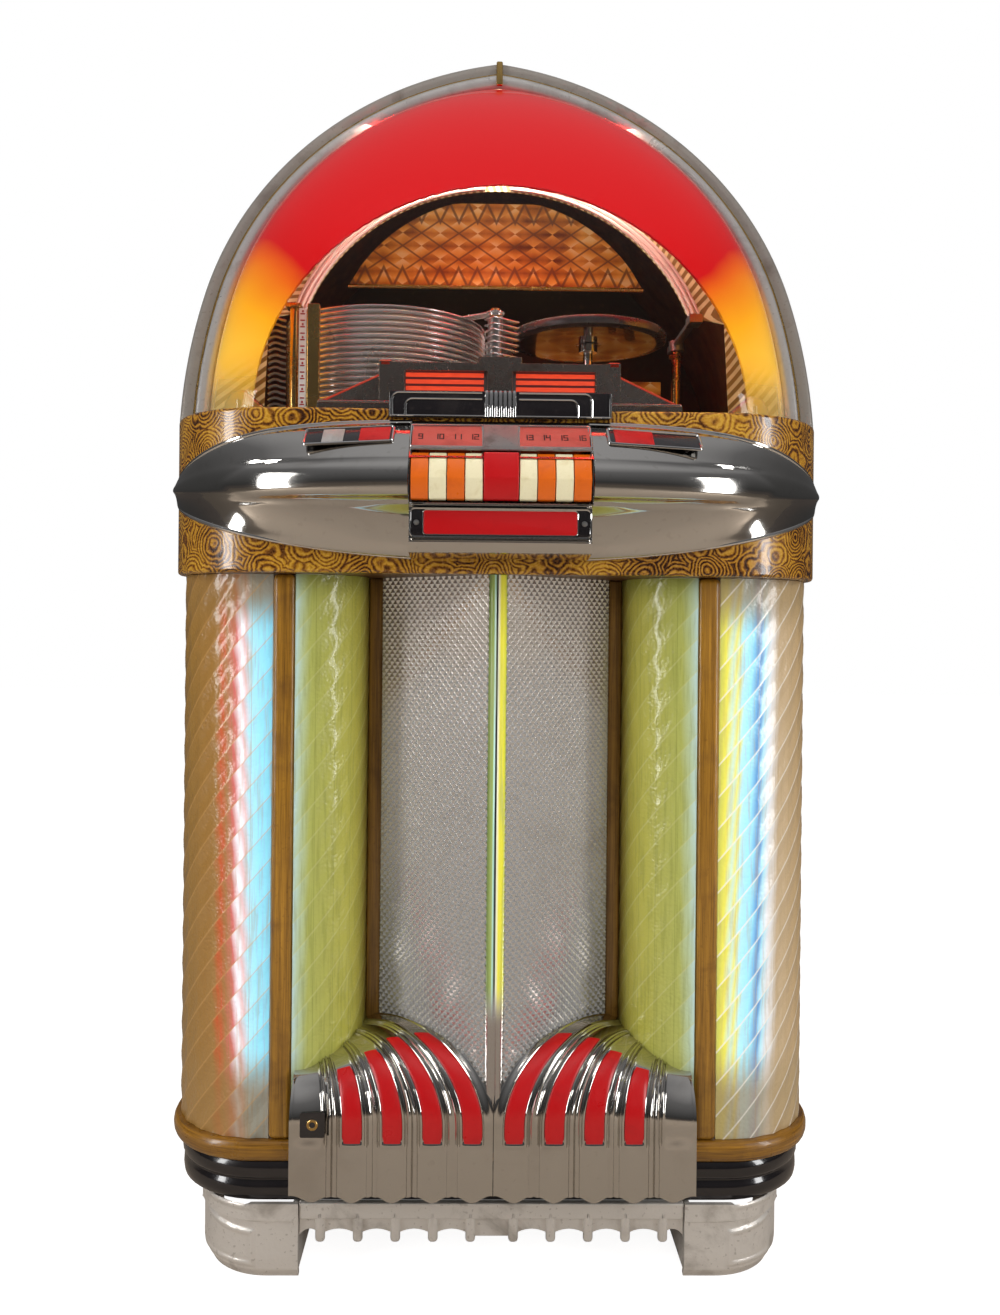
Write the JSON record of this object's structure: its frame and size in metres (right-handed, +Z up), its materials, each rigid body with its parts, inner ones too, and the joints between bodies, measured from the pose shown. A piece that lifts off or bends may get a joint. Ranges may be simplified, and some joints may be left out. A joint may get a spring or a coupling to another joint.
{
  "type": "jukebox",
  "caption": "Floor-standing jukebox with a hinged clear dome, lit pilasters, folded metal grille, cast waterfall base, and a piano-key selector below a swing-tray record changer.",
  "frame": {"origin": "on the floor, under the middle of the overall box", "axes": "+Z up, the front faces -Y, +X to the right as seen from the front"},
  "size_m": [0.76, 0.64, 1.4548],
  "materials": {
    "burl_wood": "gloss",
    "cabinet_wood": "satin",
    "plain_board": "matte",
    "gold_grain": "satin",
    "black_lacquer": "gloss",
    "chrome": "polished",
    "cast_silver": "satin",
    "grille_metal": "embossed",
    "tray_metal": "brushed",
    "grey_metal": "satin",
    "brass": "polished",
    "pilaster_plastic": "translucent",
    "green_plastic": "translucent",
    "fin_plastic": "translucent",
    "dome_plastic": "clear with tinted band",
    "red_plastic": "gloss",
    "orange_plastic": "gloss",
    "cream_plastic": "gloss",
    "dark_card": "satin",
    "lining": "striped",
    "colour_tube": "banded",
    "lamp_glass": "frosted",
    "speaker_mix": "matte",
    "turntable_felt": "flocked"
  },
  "bodies": {
    "cabinet": {"belt": "burl_wood", "side_panels": "cabinet_wood", "bottom_board": "plain_board", "shelf": "plain_board", "rear_frame": "plain_board", "front_stiles": "gold_grain", "outer_pilaster_left": "pilaster_plastic", "outer_pilaster_right": "pilaster_plastic", "inner_pilasters": "green_plastic", "grille_left": "grille_metal", "grille_right": "grille_metal", "grille_fin": "fin_plastic", "base_bead": "gold_grain", "plinth": "black_lacquer", "waterfall_left": "chrome", "waterfall_right": "chrome", "waterfall_inserts": "red_plastic", "lock_plate": "black_lacquer", "skirt": "cast_silver", "foot_left": "cast_silver", "foot_right": "cast_silver", "rear_glides": "cabinet_wood", "housing_left": "chrome", "housing_right": "chrome", "housing_centre": "chrome", "window_cards": "dark_card", "lower_panel": "red_plastic", "ornament_plate": "black_lacquer", "title_holder": "grey_metal", "key_axle": "tray_metal", "bedplate": "grey_metal", "record_trays": "tray_metal", "changer_posts": "brass", "lamp_tubes": "lamp_glass", "speaker": "speaker_mix", "speaker_baffle": "plain_board", "amplifier": "grey_metal", "lid_hinges": "tray_metal"},
    "lid": {"dome": "dome_plastic", "arch_trim": "cast_silver", "rear_hood": "cabinet_wood", "lid_lining": "lining"},
    "rear_door": {"rear_door": "cabinet_wood"},
    "key_1": {"key_1": "orange_plastic"},
    "key_2": {"key_2": "cream_plastic"},
    "key_3": {"key_3": "orange_plastic"},
    "key_4": {"key_4": "cream_plastic"},
    "key_5": {"key_5": "cream_plastic"},
    "key_6": {"key_6": "orange_plastic"},
    "key_7": {"key_7": "cream_plastic"},
    "key_8": {"key_8": "orange_plastic"},
    "centre_bar": {"centre_bar": "red_plastic"},
    "number_drum": {"number_drum": "red_plastic"},
    "title_drum": {"title_drum": "red_plastic"},
    "lift": {"lift_column": "tray_metal"},
    "turntable": {"turntable": "turntable_felt"},
    "top_tray": {"top_tray": "tray_metal"},
    "tone_arm": {"tone_arm": "grey_metal"},
    "colour_cylinder_left": {"colour_cylinder_left": "colour_tube"},
    "colour_cylinder_right": {"colour_cylinder_right": "colour_tube"}
  },
  "joints": [
    {"name": "lid_hinge", "type": "hinge", "parent": "cabinet", "child": "lid", "pos_m": [0, 0.315, 0.972], "axis": [-1, 0, 0], "range_deg": [0, 50]},
    {"name": "rear_door_hinge", "type": "hinge", "parent": "cabinet", "child": "rear_door", "pos_m": [-0.3205, 0.315, 0.55], "axis": [0, 0, 1], "range_deg": [0, 100]},
    {"name": "key_1_press", "type": "hinge", "parent": "cabinet", "child": "key_1", "pos_m": [0, -0.295, 0.9045], "axis": [1, 0, 0], "range_deg": [0, 7], "stiffness_Nm_per_rad": 0.5, "springref_deg": -6.88},
    {"name": "key_2_press", "type": "hinge", "parent": "cabinet", "child": "key_2", "pos_m": [0, -0.295, 0.9045], "axis": [1, 0, 0], "range_deg": [0, 7], "stiffness_Nm_per_rad": 0.5, "springref_deg": -6.88},
    {"name": "key_3_press", "type": "hinge", "parent": "cabinet", "child": "key_3", "pos_m": [0, -0.295, 0.9045], "axis": [1, 0, 0], "range_deg": [0, 7], "stiffness_Nm_per_rad": 0.5, "springref_deg": -6.88},
    {"name": "key_4_press", "type": "hinge", "parent": "cabinet", "child": "key_4", "pos_m": [0, -0.295, 0.9045], "axis": [1, 0, 0], "range_deg": [0, 7], "stiffness_Nm_per_rad": 0.5, "springref_deg": -6.88},
    {"name": "key_5_press", "type": "hinge", "parent": "cabinet", "child": "key_5", "pos_m": [0, -0.295, 0.9045], "axis": [1, 0, 0], "range_deg": [0, 7], "stiffness_Nm_per_rad": 0.5, "springref_deg": -6.88},
    {"name": "key_6_press", "type": "hinge", "parent": "cabinet", "child": "key_6", "pos_m": [0, -0.295, 0.9045], "axis": [1, 0, 0], "range_deg": [0, 7], "stiffness_Nm_per_rad": 0.5, "springref_deg": -6.88},
    {"name": "key_7_press", "type": "hinge", "parent": "cabinet", "child": "key_7", "pos_m": [0, -0.295, 0.9045], "axis": [1, 0, 0], "range_deg": [0, 7], "stiffness_Nm_per_rad": 0.5, "springref_deg": -6.88},
    {"name": "key_8_press", "type": "hinge", "parent": "cabinet", "child": "key_8", "pos_m": [0, -0.295, 0.9045], "axis": [1, 0, 0], "range_deg": [0, 7], "stiffness_Nm_per_rad": 0.5, "springref_deg": -6.88},
    {"name": "centre_bar_press", "type": "hinge", "parent": "cabinet", "child": "centre_bar", "pos_m": [0, -0.295, 0.9045], "axis": [1, 0, 0], "range_deg": [0, 7], "stiffness_Nm_per_rad": 0.8, "springref_deg": -6.88},
    {"name": "number_drum_turn", "type": "hinge", "parent": "cabinet", "child": "number_drum", "pos_m": [0, -0.2545, 0.923], "axis": [1, 0, 0], "continuous": true},
    {"name": "title_drum_turn", "type": "hinge", "parent": "cabinet", "child": "title_drum", "pos_m": [0, -0.196, 1.001], "axis": [1, 0, 0], "continuous": true},
    {"name": "turntable_lift", "type": "slide", "parent": "cabinet", "child": "lift", "axis": [0, 0, 1], "range_m": [-0.149, 0]},
    {"name": "turntable_turn", "type": "hinge", "parent": "lift", "child": "turntable", "pos_m": [0.117, -0.02, 1.1], "axis": [0, 0, 1], "continuous": true},
    {"name": "top_tray_swing", "type": "hinge", "parent": "cabinet", "child": "top_tray", "pos_m": [-0.00448, -0.13459, 1.1], "axis": [0, 0, 1], "range_deg": [-102, 0]},
    {"name": "tone_arm_swing", "type": "hinge", "parent": "cabinet", "child": "tone_arm", "pos_m": [0.245, 0.06, 1.1], "axis": [0, 0, 1], "range_deg": [-35, 0]},
    {"name": "colour_cylinder_left_turn", "type": "hinge", "parent": "cabinet", "child": "colour_cylinder_left", "pos_m": [-0.302, -0.125, 0.4], "axis": [0, 0, 1], "continuous": true},
    {"name": "colour_cylinder_right_turn", "type": "hinge", "parent": "cabinet", "child": "colour_cylinder_right", "pos_m": [0.302, -0.125, 0.4], "axis": [0, 0, 1], "continuous": true}
  ],
  "couplings": [
    {"joint": "title_drum_turn", "follows": "number_drum_turn", "ratio": 1},
    {"joint": "top_tray_swing", "follows": "turntable_lift", "rad_per_m": 11.82}
  ]
}
